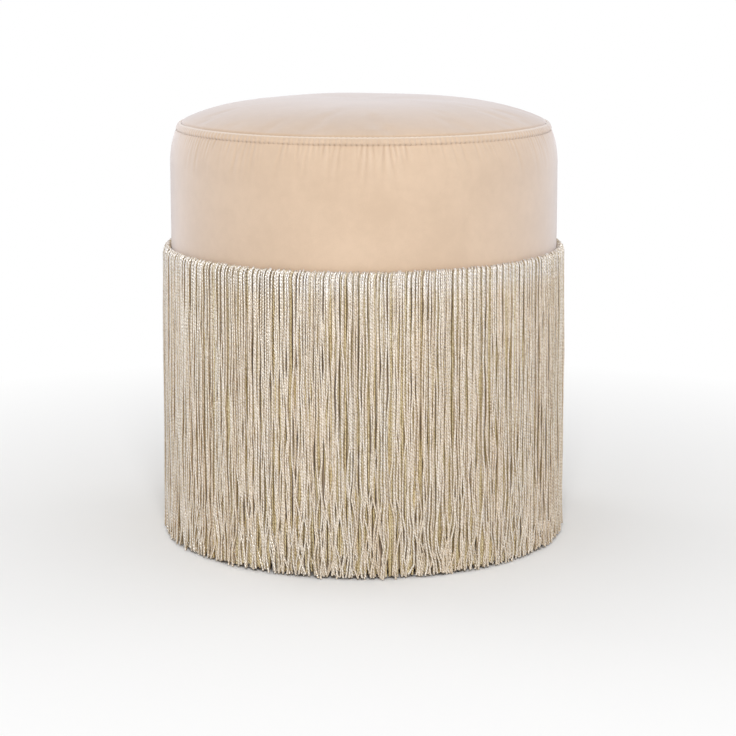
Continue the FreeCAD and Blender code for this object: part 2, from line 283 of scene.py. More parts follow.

# %% [markdown]
# ## The silky cord
# Each cord is two plies of shiny thread twisted together. From a step away the plies read as slanted
# bright and dark flecks. The cord's mesh carries an attribute named twist: where a point lies round the
# cord, as a cosine and a sine so that it closes without a seam, and how far along it is. The material
# turns these into a slanted stripe. Each cord also has its own tone. Each ply gets its own brightness and
# the thread a fine speckle, both painted glints. The top of the fold is whiter and more silvery, a painted
# sheen. The flanks of a cord, which face sideways, and the grooves between its plies get painted shade,
# darker and more golden, as where neighbours shade them and light bounces between cords.

# %% Cord material
CORD_PLIES = 2
CORD_LAY = 6.2 * MM
# The top of the fold is whiter and more silvery, a painted sheen.
SILVER_PAINTED_SHEEN = chart(255, 252, 253)
CREAM = chart(255, 249, 240)
GOLD = chart(255, 240, 221)
# The darkest painted glint on a ply, and the darkest fine painted sparkle.
GLINT_LOW = chart(236, 229, 216)
PAINTED_SPARKLE_LOW = chart(198, 188, 168)
CORD_LOW = chart(244, 236, 220)
# Painted shade on a cord's flanks and in the grooves between its plies.
FLANK_PAINTED_SHADE = chart(192, 174, 136)
GROOVE_PAINTED_SHADE = chart(198, 180, 140)
# A cord's shade runs from 0 to 1. These spread it out, so that neighbours don't match.
START_SPREAD = 37.0
GLINT_SPREAD = 97.0
CORD_SPREAD = 71.0


def cord_material(name, top, pale_dye, deep_dye, gloss, sheen):
    w = Paint(name, Roughness=0.26, IOR=gloss, Specular_IOR_Level=1.0, Sheen_Weight=sheen,
              Sheen_Roughness=0.35, Sheen_Tint=chart(238, 240, 250))
    twist = w.parts(w.attribute("twist", "Vector"))
    shade = w.attribute("cord_shade")
    turn = w.math("ARCTAN2", twist["Y"], twist["X"])
    winding = w.total(w.product(turn, CORD_PLIES / FULL_TURN), w.product(twist["Z"], CORD_PLIES / CORD_LAY),
                      w.product(shade, START_SPREAD))
    ply = w.math("ABSOLUTE", w.math("SINE", w.product(winding, math.pi)))
    place = w.parts(w.place)
    tall = w.vector(place["X"], place["Y"], w.product(place["Z"], 0.25))
    patch = w.ramp(w.noise(tall, scale=26.0), 0.35, 0.65)
    hanging = w.mix(w.total(w.product(patch, 0.6), w.product(shade, 0.4)), deep_dye, pale_dye)
    # The top of the fold turns to the top colour, a painted sheen.
    pale = w.mix(w.ramp(place["Z"], FRINGE_TOP - 30 * MM, FRINGE_TOP - 8 * MM), hanging, top)
    # Painted glints: each ply gets its own brightness, and a fine noise paints sparkle.
    each_ply = w.unsmoothed(w.math("FLOOR", winding), w.product(shade, GLINT_SPREAD))
    painted_sparkle = w.ramp(w.noise(w.place, scale=700.0, roughness=0.7), 0.36, 0.54)
    each_cord = w.ramp(w.unsmoothed(w.product(shade, CORD_SPREAD)), 0.0, 0.6)
    for factor, low in ((each_ply, GLINT_LOW), (painted_sparkle, PAINTED_SPARKLE_LOW), (each_cord, CORD_LOW)):
        pale = w.tint(pale, w.mix(factor, low, WHITE))
    # Painted shade, darker and more golden, on the faces that turn sideways: the flanks of a cord.
    round_way = w.vector(w.product(place["Y"], -1.0), place["X"])
    round_way = w.make("ShaderNodeVectorMath", {0: round_way}, operation="NORMALIZE")
    facing = w.add("ShaderNodeNewGeometry").outputs["Normal"]
    painted_flank_shade = w.ramp(w.math("ABSOLUTE", w.along("DOT_PRODUCT", facing, round_way)), 0.5, 0.98)
    pale = w.mix(painted_flank_shade, pale, w.tint(pale, FLANK_PAINTED_SHADE))
    # Painted shade in the grooves between the plies.
    colour = w.mix(w.ramp(ply, 0.0, 0.55), w.tint(pale, GROOVE_PAINTED_SHADE), pale)
    return w.finish(colour, ply, 0.8, 0.5 * MM)


silk = cord_material("fringe_silk", SILVER_PAINTED_SHEEN, CREAM, GOLD, 2.15, 0.55)
# The cords behind get a darker, more golden copy of the silk, with no sheen and less gloss: painted shade.
shaded_silk = cord_material(
    "fringe_silk_behind", chart(252, 245, 226), chart(250, 239, 206), chart(238, 225, 184), 1.5, 0.0
)

# %% [markdown]
# ## Turning a profile
# The cover's pieces are round, so each is a profile swept about the upright axis. Their surface isn't
# quite round, though: the stitches draw the velvet in. So a profile is a list of stations, each with its
# radius, height and outward direction, and one function says how far the surface moves at each angle.


# %% A turned and displaced shell
def even_angles(count):
    return np.linspace(0, FULL_TURN, count, endpoint=False)


def ring_points(radius, angle, height):
    return np.stack([radius * np.cos(angle), radius * np.sin(angle), height], axis=2).reshape(-1, 3)


def turned_shell(name, stations, columns, shift):
    """Closes a loop of stations (r, z, out_r, out_z) round the axis. shift gives each point's outward move
    and its painted shading, from -1, a painted highlight on a sharp fold, to 1, painted shade deep in a
    crease."""
    stations = np.array(stations)
    angle = even_angles(columns)
    move, crease = shift(angle[None, :])
    radius = stations[:, 0:1] + move * stations[:, 2:3]
    height = stations[:, 1:2] + move * stations[:, 3:4]
    points = ring_points(radius, angle, height)
    rows = len(stations)
    row, column = np.meshgrid(np.arange(rows), np.arange(columns), indexing="ij")
    below, beside = (row + 1) % rows, (column + 1) % columns
    faces = np.stack([row * columns + column, below * columns + column,
                      below * columns + beside, row * columns + beside], axis=2).reshape(-1, 4)
    piece = new_piece(name, points, faces)
    # An attribute from which the velvet paints shade and highlight into its colour.
    depth = piece.data.attributes.new("crease", "FLOAT", "POINT")
    depth.data.foreach_set("value", crease.reshape(-1).astype(np.float32))
    return piece


def new_piece(name, points, faces):
    mesh = bpy.data.meshes.new(name)
    mesh.from_pydata([tuple(p) for p in points], [], [tuple(int(i) for i in f) for f in faces])
    piece = add_object(name, mesh)
    shade_smooth(piece)
    return piece


def shade_smooth(piece):
    piece.data.polygons.foreach_set("use_smooth", [True] * len(piece.data.polygons))


def face_outwards(piece, change=None):
    """Turns every face outwards, after a change to the mesh where one is given."""
    work = bmesh.new()
    work.from_mesh(piece.data)
    if change:
        change(work)
    bmesh.ops.recalc_face_normals(work, faces=work.faces)
    work.to_mesh(piece.data)
    work.free()


def evaluated_mesh(piece):
    """A plain mesh of what the piece's modifiers make of it."""
    graph = bpy.context.evaluated_depsgraph_get()
    return bpy.data.meshes.new_from_object(piece.evaluated_get(graph))


def finish_piece(piece, material, slot_name, *replaced):
    """Gives a finished piece its material and its body, and hides the imported nodes that it stands for."""
    piece.data.materials.clear()
    piece.data.materials.append(material)
    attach(piece, "root")
    if replaced:
        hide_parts(*replaced)
    print(f"{piece.name}: {len(piece.data.polygons)} faces")


# %% [markdown]
# ## The side band
# The band is sewn to the top panel at the rim. Its edge is folded over, which makes a small roll, and
# a row of topstitching holds the fold, so the strip above the stitches is a little plump. The thread
# draws the velvet in. Small creases run down from the stitch holes and fade within a few centimetres,
# and shorter ones run up to the roll. They are deepest at the front. Every hole gets its own random
# strength, length and slant, since no two stitches pull alike.

# %% Shape of the band's profile
SHOULDER_HEIGHT = 37.0 * MM
VELVET_THICKNESS = 1.2 * MM
HEM_ROUND = 3.0 * MM
HEM_TURN = 30.0 * MM
ROLL_RADIUS = 1.4 * MM
RIM_INSET = SEAT_RADIUS - RIM_RADIUS
SHOULDER_RADIUS = (RIM_INSET**2 + SHOULDER_HEIGHT**2) / (2 * RIM_INSET)
RIM_ANGLE = math.asin(SHOULDER_HEIGHT / SHOULDER_RADIUS)
SHOULDER_BOTTOM = RIM_HEIGHT - SHOULDER_HEIGHT


def arc_station(centre_r, centre_z, reach, angle):
    """A station at a reach from a centre, which faces away from it."""
    out_r, out_z = math.cos(angle), math.sin(angle)
    return (centre_r + reach * out_r, centre_z + reach * out_z, out_r, out_z)


def shoulder_station(inset, angle):
    return arc_station(SEAT_RADIUS - SHOULDER_RADIUS, SHOULDER_BOTTOM, SHOULDER_RADIUS - inset, angle)


def roll_stations():
    """The folded edge, from the seam over the top to where the band's face begins, and that angle."""
    start = RIM_ANGLE - ROLL_RADIUS / SHOULDER_RADIUS
    centre_r, centre_z = shoulder_station(ROLL_RADIUS, start)[:2]
    turns = np.linspace(math.radians(160), start, 9)[:-1]
    return [arc_station(centre_r, centre_z, ROLL_RADIUS, turn) for turn in turns], start


def band_stations():
    """The loop of stations, and each one's distance down from the rim along the velvet, -1 if inside."""
    stations, start = roll_stations()
    fine = 0.55 * MM / SHOULDER_RADIUS
    last_fine = RIM_ANGLE - 13 * MM / SHOULDER_RADIUS
    angles = list(np.arange(start, last_fine, -fine))
    angles += list(np.linspace(last_fine - 2 * fine, 0, 13))
    roll_count = len(stations)
    stations += [shoulder_station(0, a) for a in angles]
    corner_r, corner_z = SEAT_RADIUS - HEM_ROUND, HEM_BOTTOM + HEM_ROUND
    for height in np.geomspace(5 * MM, SHOULDER_BOTTOM - corner_z, 17):
        stations.append((SEAT_RADIUS, SHOULDER_BOTTOM - height, 1, 0))
    for turn in np.linspace(0, math.pi / 2, 5)[1:]:
        stations.append(arc_station(corner_r, corner_z, HEM_ROUND, -turn))
    for radius in np.linspace(corner_r, SEAT_RADIUS - HEM_TURN, 6)[1:]:
        stations.append((radius, HEM_BOTTOM, 0, -1))
    down = [0.0] * roll_count + [ROLL_RADIUS]
    for a, b in zip(stations[roll_count:], stations[roll_count + 1:]):
        down.append(down[-1] + math.hypot(a[0] - b[0], a[1] - b[1]))
    inside = [(SEAT_RADIUS - HEM_TURN, HEM_BOTTOM + VELVET_THICKNESS)]
    for turn in np.linspace(math.pi / 2, 0, 4):
        inside.append(arc_station(corner_r, corner_z, HEM_ROUND - VELVET_THICKNESS, -turn))
    inside.append((SEAT_RADIUS - VELVET_THICKNESS, SHOULDER_BOTTOM))
    inside += [shoulder_station(VELVET_THICKNESS * 1.6, a) for a in np.linspace(0, RIM_ANGLE - 0.02, 6)[1:]]
    stations += [(station[0], station[1], 0, 0) for station in inside]
    down += [-1.0] * len(inside)
    return stations, np.array(down)


stations, down = band_stations()
print(f"{len(stations)} stations round the band's profile")

# %% [markdown]
# ## Random waves that close on themselves
# A wave round the drum has to meet itself after a full turn. A table of random numbers whose last
# entry is followed by its first, joined by smooth steps, does that at any wavelength.


# %% Closed random waves
def closed_wave(angle, wavelength, seed):
    """Random heights from -1 to 1, one to a wavelength round the drum, joined smoothly."""
    count = max(3, round(FULL_TURN * SEAT_RADIUS / wavelength))
    table = np.random.default_rng(seed).uniform(-1, 1, count)
    place = np.mod(angle, FULL_TURN) / FULL_TURN * count
    low = np.floor(place).astype(int)
    share = place - low
    share = share * share * (3 - 2 * share)
    return table[low % count] * (1 - share) + table[(low + 1) % count] * share


def bell(distance, width):
    return np.exp(-((distance / width) ** 2))


def turn_from(start, angle):
    """The turn from one angle to another, the short way round."""
    return np.angle(np.exp(1j * (angle - start)))


# %% Creases that start at the stitch holes
STITCH_DROP = 7.0 * MM
STITCH_PITCH = 4.7 * MM
STITCHES = round(FULL_TURN * (RIM_RADIUS + 2.0 * MM) / STITCH_PITCH)
STITCH_SINK = 0.75 * MM
STITCH_ANGLE = RIM_ANGLE - STITCH_DROP / SHOULDER_RADIUS
STITCH_RADIUS = shoulder_station(0, STITCH_ANGLE)[0]
FRONT = -math.pi / 2
BACK = math.pi / 2
COLUMNS = STITCHES * 6
chance = np.random.default_rng(7)
hole_angle = np.arange(STITCHES) * FULL_TURN / STITCHES
hole_pull = chance.uniform(0.05, 1.0, STITCHES) ** 1.3
hole_length = chance.uniform(8, 27, STITCHES) * MM
hole_slant = chance.normal(0.0, 0.07, STITCHES)
hole_width = chance.uniform(0.8, 1.25, STITCHES) * MM
hole_depth = chance.uniform(0.6, 1.0, STITCHES)


def nearest_hole(angle):
    return np.round(angle / FULL_TURN * STITCHES).astype(int) % STITCHES


def beside_hole(angle, hole):
    """How far round the seam a point lies from a hole, in metres."""
    return turn_from(hole_angle[hole], angle) * STITCH_RADIUS


def gather_strength(angle):
    """Strong in the middle of the front, and uneven elsewhere."""
    front = np.exp(-((np.abs(turn_from(FRONT, angle) - 0.05) / 0.42) ** 4))
    other = 0.36 + 0.24 * closed_wave(angle, 90 * MM, 11)
    return other + (1 - other) * front


def hole_creases(angle, below, above):
    """The depth of the creases, summed over the nearest holes."""
    up_fade = np.where(above > 0, np.clip(1.0 - above / (STITCH_DROP + 2 * MM), 0, 1), 0)
    result = np.zeros(np.broadcast(angle, below).shape)
    for step in range(-2, 3):
        hole = (nearest_hole(angle) + step) % STITCHES
        beside = beside_hole(angle, hole)
        lean = hole_slant[hole] + 0.22 * np.clip(turn_from(FRONT, hole_angle[hole]) / 0.35, -0.4, 1)
        width = hole_width[hole] * (1 + below / (18 * MM))
        run = beside - lean * below
        fade = bell(below, hole_length[hole]) * np.clip(below / (1.2 * MM), 0, 1)
        result = result + hole_pull[hole] * (bell(run, width) - 0.45 * bell(run, 2.2 * width)) * fade
        result = result + 1.1 * hole_depth[hole] * (bell(beside, 1.0 * MM) - 0.35) * up_fade
    return result


# %% How far the band's velvet moves
CREASE_DEPTH = 1.9 * MM


def band_shift(angle):
    below_rim = down[:, None]
    outside = below_rim >= 0
    below = np.maximum(below_rim - STITCH_DROP, 0)
    above = np.maximum(STITCH_DROP - below_rim, 0)
    strength = gather_strength(angle)
    hole = nearest_hole(angle)
    groove = bell(below_rim - STITCH_DROP, 1.0 * MM)
    pierced = bell(below_rim - STITCH_DROP, 0.6 * MM) * bell(beside_hole(angle, hole), 0.75 * MM)
    pierced = pierced * hole_depth[hole]
    move = -STITCH_SINK * (0.7 * groove + 0.5 * pierced)
    plump = np.sin(math.pi * np.clip(below_rim / STITCH_DROP, 0, 1)) ** 0.8
    move = move + 0.45 * MM * plump + 0.15 * MM * (above > 0)
    folds = strength * hole_creases(angle, below, above)
    move = move - CREASE_DEPTH * folds
    soft = 0.5 * closed_wave(angle, 13 * MM, 23) * bell(below, 28 * MM)
    soft = soft + 0.4 * closed_wave(angle, 26 * MM, 24) * bell(below, 45 * MM)
    move = move + strength * 0.5 * MM * soft * (below > 0)
    slack = np.clip(below / (60 * MM), 0, 1)
    move = move + 0.4 * MM * closed_wave(angle, 95 * MM, 41) * slack
    seam = bell(turn_from(BACK, angle) * SEAT_RADIUS, 1.1 * MM)
    move = move - 0.7 * MM * seam * (below_rim > 1 * MM)
    # Painted shade in the stitch holes, the groove, the creases and the back seam, and a painted highlight on
    # the rolled edge and on the ridges beside the creases.
    painted_shade_amount = 0.68 * pierced + 0.08 * groove + 0.42 * np.maximum(folds, 0) + 0.3 * seam
    pale = 0.55 * bell(below_rim, 1.2 * MM) + 0.5 * np.maximum(-folds, 0) * (below > 0)
    crease = np.clip(painted_shade_amount - pale, -1, 1)
    return np.where(outside, move, 0.0), np.where(outside, crease, 0.0)


side_band = turned_shell("side_band_velvet", stations, COLUMNS, band_shift)
face_outwards(side_band)
finish_piece(side_band, velvet, "velvet", "side_band")

# %% [markdown]
# ## The top panel
# The padding pushes the panel up, so it is nearly flat in the middle and turns down towards the rim.
# At the seam it dives behind the band's rolled edge, and the gathers reach a little way in.

# %% Shape of the top panel
CROWN_RISE = CROWN_TOP - RIM_HEIGHT
CROWN_POWER = 4
TOP_COLUMNS = STITCHES * 3
SEAM_INSET = 1.2 * MM
PANEL_RADIUS = RIM_RADIUS - SEAM_INSET


def crown_height(radius):
    return RIM_HEIGHT + CROWN_RISE * (1 - (radius / RIM_RADIUS) ** CROWN_POWER)


def crown_stations():
    """Stations from the seam in to the middle, and those from there back out along the underside."""
    fine = np.geomspace(0.35 * MM, 24 * MM, 22)
    inward = np.concatenate([[0], fine, np.linspace(30 * MM, PANEL_RADIUS - 0.6 * MM, 24)])
    outer = []
    for reach in inward:
        radius = PANEL_RADIUS - reach
        slope = -CROWN_POWER * CROWN_RISE / RIM_RADIUS * (radius / RIM_RADIUS) ** (CROWN_POWER - 1)
        length = math.hypot(1, slope)
        outer.append((radius, crown_height(radius), -slope / length, 1 / length))
    inner = [(r, z - VELVET_THICKNESS, 0, 0) for r, z, _, _ in outer[6:-1:6] + outer[-1:]]
    return outer, inner[::-1], inward


# %% [markdown]
# ## How the panel settles over the foam
# The dome isn't perfectly even. The panel is a disc of cloth held at its stitched edge, where some
# stitches pull harder than others, and the foam presses it up from below. A cloth simulation of a
# coarse disc shows where it settles: its edge is pinned, air pressure stands for the foam, and there is
# no gravity, since the foam bears the cloth. Only how far it strays from its own even dome is kept, and
# never more than a cap, so the fitted height of the crown stays.

# %% Simulate a coarse disc
DISC_RINGS = 16
DISC_COLUMNS = 96
SETTLE_FRAMES = 20
SETTLE_CAP = 1.2 * MM
EDGE_PULL = 3.5 * MM


def coarse_disc():
    """A disc of cloth on the crown's profile, its edge pulled about by the stitches."""
    angle = even_angles(DISC_COLUMNS)
    radius = PANEL_RADIUS * np.linspace(1, 0, DISC_RINGS, endpoint=False)[:, None]
    pull = np.where(np.arange(DISC_RINGS) == 0, EDGE_PULL, 0)[:, None] * closed_wave(angle, 45 * MM, 54)
    reach = radius + pull * gather_strength(angle)
    points = ring_points(reach, angle, crown_height(radius) + 0 * angle)
    points = np.vstack([points, [0, 0, CROWN_TOP]])
    faces = []
    last = (DISC_RINGS - 1) * DISC_COLUMNS
    for low in range(0, last, DISC_COLUMNS):
        for column in range(DISC_COLUMNS):
            beside, high = (column + 1) % DISC_COLUMNS, low + DISC_COLUMNS
            faces.append((low + column, low + beside, high + beside, high + column))
    for column in range(DISC_COLUMNS):
        faces.append((last + column, last + (column + 1) % DISC_COLUMNS, len(points) - 1))
    return new_piece("coarse_disc", points, faces)


def settle(disc):
    """Runs the cloth and returns each ring's and column's stray from the even dome."""
    seam = disc.vertex_groups.new(name="seam")
    seam.add(list(range(DISC_COLUMNS)), 1.0, "REPLACE")
    cloth = disc.modifiers.new("settling", "CLOTH")
    set_all(cloth.settings, quality=6, mass=0.2, vertex_group_mass="seam", use_pressure=True,
            uniform_pressure_force=4.0, shrink_min=-0.01)
    cloth.settings.effector_weights.gravity = 0.0
    for frame_number in range(1, SETTLE_FRAMES + 1):
        scene.frame_set(frame_number)
    settled = evaluated_mesh(disc)
    heights = np.array([v.co.z for v in settled.vertices])[:-1].reshape(DISC_RINGS, DISC_COLUMNS)
    scene.frame_set(1)
    bpy.data.meshes.remove(settled)
    stray = heights - heights.mean(axis=1, keepdims=True)
    print(f"the disc strays up to {np.abs(stray).max() * 1000:.2f} mm from its even dome")
    return np.clip(stray, -SETTLE_CAP, SETTLE_CAP)


settled_stray = np.zeros((DISC_RINGS, DISC_COLUMNS))
disc = coarse_disc()
settled_stray = settle(disc)
bpy.data.objects.remove(disc)


def stray_at(angle, inward):
    """The stray between the coarse disc's points, which fades to nothing at the middle."""
    ring = np.clip(inward / PANEL_RADIUS * DISC_RINGS, 0, DISC_RINGS - 1.001)
    column = np.mod(angle, FULL_TURN) / FULL_TURN * DISC_COLUMNS
    ring_low, column_low = np.floor(ring).astype(int), np.floor(column).astype(int)
    down_share, round_share = ring - ring_low, column - column_low
    result = 0
    for ring_step, ring_weight in ((0, 1 - down_share), (1, down_share)):
        for column_step, column_weight in ((0, 1 - round_share), (1, round_share)):
            picked = settled_stray[ring_low + ring_step, (column_low + column_step) % DISC_COLUMNS]
            result = result + picked * ring_weight * column_weight
    return result * np.clip((PANEL_RADIUS - inward) / (30 * MM), 0, 1)


# %% How far the panel's velvet moves
def crown_shift(angle, inward, blank_rows):
    """Moves the outer face only. The rows of the underside stay blank."""
    inward = inward[:, None]
    strength = gather_strength(angle)
    dive = -1.7 * MM * bell(inward, 1.5 * MM)
    hole = nearest_hole(angle)
    pulls = hole_pull[hole] * bell(beside_hole(angle, hole), 1.3 * MM) * np.exp(-inward / (5 * MM))
    ripples = 0.6 * closed_wave(angle, 8.0 * MM, 51) + 0.6 * closed_wave(angle, 17 * MM, 52)
    near = np.exp(-inward / (13 * MM)) * (1 - bell(inward, 1.5 * MM))
    soft = closed_wave(angle, 120 * MM, 53) * np.sin(math.pi * np.clip(inward / RIM_RADIUS, 0, 1)) * 0.5 * MM
    move = dive + strength * MM * (0.3 * ripples * near - 0.3 * pulls * (1 - bell(inward, 1.0 * MM))) + soft
    move = move + stray_at(angle, inward) * (0.3 + 0.5 * strength)
    # Painted shade in the dive at the seam and where the stitches pull.
    crease = 0.45 * bell(inward, 1.3 * MM) + 0.1 * pulls
    blank = np.zeros((blank_rows, angle.shape[1]))
    return np.vstack([move, blank]), np.vstack([crease, blank])


def make_top_panel():
    outer, inner, inward = crown_stations()

    def shift(angle):
        return crown_shift(angle, inward, len(inner))

    return turned_shell("top_panel_velvet", outer + inner, TOP_COLUMNS, shift)


top_panel = make_top_panel()


# %% Close the middle of the top panel
MIDDLE_RADIUS = 1 * MM


def close_middle(work):
    """Joins the small ring in the middle of each side into one point."""
    near = {v for v in work.verts if math.hypot(v.co.x, v.co.y) < MIDDLE_RADIUS}
    middle = CROWN_TOP - VELVET_THICKNESS / 2
    high = [v for v in work.verts if v in near and v.co.z > middle]
    low = [v for v in work.verts if v in near and v.co.z <= middle]
    wall = [f for f in work.faces if near.issuperset(f.verts)]
    bmesh.ops.delete(work, geom=wall, context="FACES_ONLY")
    for ring in (high, low):
        bmesh.ops.pointmerge(work, verts=ring, merge_co=(0, 0, sum(v.co.z for v in ring) / len(ring)))


face_outwards(top_panel, close_middle)
shade_smooth(top_panel)
finish_piece(top_panel, velvet, "velvet", "top_panel")

# %% [markdown]
# ## Topstitching
# Each stitch is a short arc of thread whose ends go into the velvet. Geometry Nodes place one on every
# point of the stitch circle, turned along it.


# %% Making and running a Geometry Nodes tree
def new_tree(name):
    tree = bpy.data.node_groups.new(name, "GeometryNodeTree")
    tree.interface.new_socket("Geometry", in_out="OUTPUT", socket_type="NodeSocketGeometry")
    return Wiring(tree)


def run_tree(name, w, geometry, finish):
    """Gives the tree's geometry its material and returns it as a plain mesh object."""
    painted = w.shape("SetMaterial", Geometry=geometry, Material=finish)
    w.add("NodeGroupOutput", {0: painted})
    holder = add_object(name + "_holder", bpy.data.meshes.new(name + "_holder"))
    holder.modifiers.new("tree", "NODES").node_group = w.tree
    bpy.context.view_layer.update()
    mesh = evaluated_mesh(holder)
    mesh.name = name
    bpy.data.objects.remove(holder)
    return add_object(name, mesh)


# %% Thread finish and the stitches
STITCH_LENGTH = 3.1 * MM
STITCH_SAG = 0.4 * MM
THREAD = 0.5 * MM
THREAD_DEPTH = 0.62 * STITCH_SINK


def mottled_material(name, first, second, scale, grain, distance, **settings):
    """Two tones mixed by one noise, with a finer one for its surface."""
    w = Paint(name, **settings)
    colour = w.mix(w.noise(w.place, scale), first, second)
    return w.finish(colour, w.noise(w.place, grain), 0.4, distance)


def make_stitches(finish):
    radius, height = shoulder_station(THREAD_DEPTH, STITCH_ANGLE)[:2]
    half = STITCH_LENGTH / 2
    w = new_tree("stitches")
    circle = w.shape("MeshCircle", Vertices=STITCHES, Radius=radius)
    half_pitch = w.vector(z=w.math("DIVIDE", math.pi, STITCHES))
    circle = w.shape("Transform", Geometry=circle, Rotation=half_pitch)
    arc = w.shape("CurveQuadraticBezier", Resolution=5, Start=(0, -half, 0), Middle=(STITCH_SAG, 0, 0),
                  End=(0, half, 0))
    ring = w.shape("CurvePrimitiveCircle", Resolution=6, Radius=THREAD / 2)
    stitch = w.shape("CurveToMesh", Curve=arc, Profile_Curve=ring, Fill_Caps=True)
    place = w.parts(w.shape("InputPosition"))
    turn = w.vector(z=w.math("ARCTAN2", place["Y"], place["X"]))
    spread = w.shape("InstanceOnPoints", Points=circle, Instance=stitch, Rotation=turn)
    lifted = w.shape("TranslateInstances", Instances=spread, Translation=(0, 0, height), Local_Space=False)
    piece = run_tree("rim_stitches", w, w.shape("RealizeInstances", Geometry=lifted), finish)
    shade_smooth(piece)
    finish_piece(piece, finish, "stitch_thread", "rim_topstitch")


make_stitches(mottled_material(
    "thread", chart(214, 188, 160), chart(232, 208, 182), 1500.0, 2600.0, 0.2 * MM, Roughness=0.7,
    Specular_IOR_Level=0.2,
))

# %% [markdown]
# ## The padding
# Under the velvet lie a foam slab, a domed pad on top of it, and wadding round the sides. None of them
# shows, but each is there at its own size, a little smaller than the cover that it fills. Their faces
# are soft and slightly lumpy. The first two need only a profile from pole to pole, and the wadding is
# a closed loop that is turned like the band.


# %% A turned solid with closed poles
PAD_COLUMNS = 96
LUMP_SIZE = 40 * MM
LUMP_SEED = 61


def turned_solid(name, profile, lumps):
    """Sweeps a profile of (r, z) points round the axis. The first and last points lie on the axis."""
    angle = even_angles(PAD_COLUMNS)
    rings = profile[1:-1]
    points = [(0.0, 0.0, profile[0][1])]
    for step, (radius, height) in enumerate(rings):
        wave = 1 + lumps * closed_wave(angle, LUMP_SIZE, LUMP_SEED + step // 2) / max(radius, MM)
        points += [(radius * k * math.cos(a), radius * k * math.sin(a), height) for a, k in zip(angle, wave)]
    points.append((0.0, 0.0, profile[-1][1]))
    top = 1 + (len(rings) - 1) * PAD_COLUMNS
    faces = []
    for column in range(PAD_COLUMNS):
        beside = (column + 1) % PAD_COLUMNS
        faces.append((0, 1 + beside, 1 + column))
        for low in range(1, top, PAD_COLUMNS):
            high = low + PAD_COLUMNS
            faces.append((low + column, low + beside, high + beside, high + column))
        faces.append((top + column, top + beside, len(points) - 1))
    piece = new_piece(name, points, faces)
    face_outwards(piece)
    return piece


# %% Wadding and foam finishes
def speckled_material(name, first, second, scale, grain, bump, **settings):
    """Two tones mixed by a soft noise, with a fine grain for its surface."""
    w = Paint(name, **settings)
    tone = w.total(w.product(w.noise(w.place, scale, 3.0), 0.6), w.product(w.noise(w.place, grain), 0.4))
    colour = w.mix(w.ramp(tone, 0.35, 0.65), first, second)
    return w.finish(colour, w.noise(w.place, grain, 3.0), bump, 0.5 * MM)


wadding = speckled_material(
    "wadding", chart(226, 226, 222), chart(242, 242, 240), 60.0, 700.0, 0.6, Roughness=1.0
)
foam = speckled_material(
    "foam", chart(224, 210, 168), chart(236, 224, 186), 30.0, 900.0, 0.5, Roughness=0.95
)

# %% The domed pad, the foam slab and the side wadding
foam_low, foam_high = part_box("seat_foam")
pad_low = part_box("crown_wadding")[0]
side_low, side_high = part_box("side_wadding")
shell_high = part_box("side_shell")[1]
PAD_CLEARANCE = 2.4 * MM


def domed_pad():
    edge = RIM_RADIUS - 5 * MM
    bottom = pad_low.z
    profile = [(0, bottom), (edge * 0.5, bottom), (edge, bottom), (edge + 1.2 * MM, bottom + 1.5 * MM)]
    for share in (0.985, 0.96, 0.9, 0.8, 0.65, 0.5, 0.33, 0.16, 0):
        profile.append((edge * share, crown_height(edge * share) - PAD_CLEARANCE))
    return turned_solid("crown_pad", profile, 0.4 * MM)


def foam_slab():
    bottom, top = foam_low.z, foam_high.z
    profile = [(0, bottom), (SEAT_RADIUS * 0.5, bottom), (SEAT_RADIUS - 3 * MM, bottom)]
    for angle in np.linspace(0, RIM_ANGLE, 8):
        radius, height, _, _ = shoulder_station(PAD_CLEARANCE + 0.4 * MM, angle)
        if height < top - 2 * MM:
            profile.append((radius, height))
    profile.append((RIM_RADIUS - 1 * MM, top - 1 * MM))
    profile += [(RIM_RADIUS - 3 * MM, top), (RIM_RADIUS * 0.5, top), (0, top)]
    return turned_solid("seat_foam_slab", profile, 0.3 * MM)


def side_pad():
    outer, inner = side_high.x, shell_high.x + 0.3 * MM
    low, high = side_low.z, side_high.z
    middle = (outer + inner) / 2
    stations = [(middle, high, 0, 1), (outer - 0.4 * MM, high - 0.8 * MM, 1, 0)]
    stations += [(outer, z, 1, 0) for z in np.linspace(high - 3 * MM, low + 3 * MM, 9)]
    stations += [(outer - 0.4 * MM, low + 0.8 * MM, 1, 0), (middle, low, 0, -1)]
    stations += [(inner, low + 1 * MM, 0, 0), (inner, high - 1 * MM, 0, 0)]

    def lumps(angle):
        move = -0.5 * MM * (0.5 + 0.5 * closed_wave(angle, 30 * MM, 71)) * np.ones((len(stations), 1))
        return move, np.zeros_like(move)

    piece = turned_shell("side_pad", stations, 180, lumps)
    face_outwards(piece)
    return piece


for piece, material, slot_name, node in (
    (domed_pad(), wadding, "wadding", "crown_wadding"),
    (foam_slab(), foam, "foam", "seat_foam"),
    (side_pad(), wadding, "wadding", "side_wadding"),
):
    finish_piece(piece, material, slot_name, node)

# %% [markdown]
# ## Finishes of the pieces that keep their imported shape
# Boards, posts, screws, staples, the bent shell, the dust cover, the glides, the tape and its glue are
# right as they are. Each gets the finish of the real thing.


# %% Wood, board and metal finishes
def wood_material():
    """Softwood, with long grain that runs up the posts."""
    w = Paint("softwood", Roughness=0.62, Specular_IOR_Level=0.3)
    place = w.parts(w.place)
    stretched = w.vector(place["X"], place["Y"], w.product(place["Z"], 0.06))
    bands = w.noise(stretched, 90.0, 4.0, 0.6)
    fibres = w.noise(stretched, 810.0, 3.0)
    tone = w.total(w.product(bands, 0.6), w.product(fibres, 0.4))
    colour = w.mix(w.ramp(tone, 0.35, 0.65), chart(192, 150, 98), chart(226, 194, 146))
    return w.finish(colour, fibres, 0.3, 0.3 * MM)


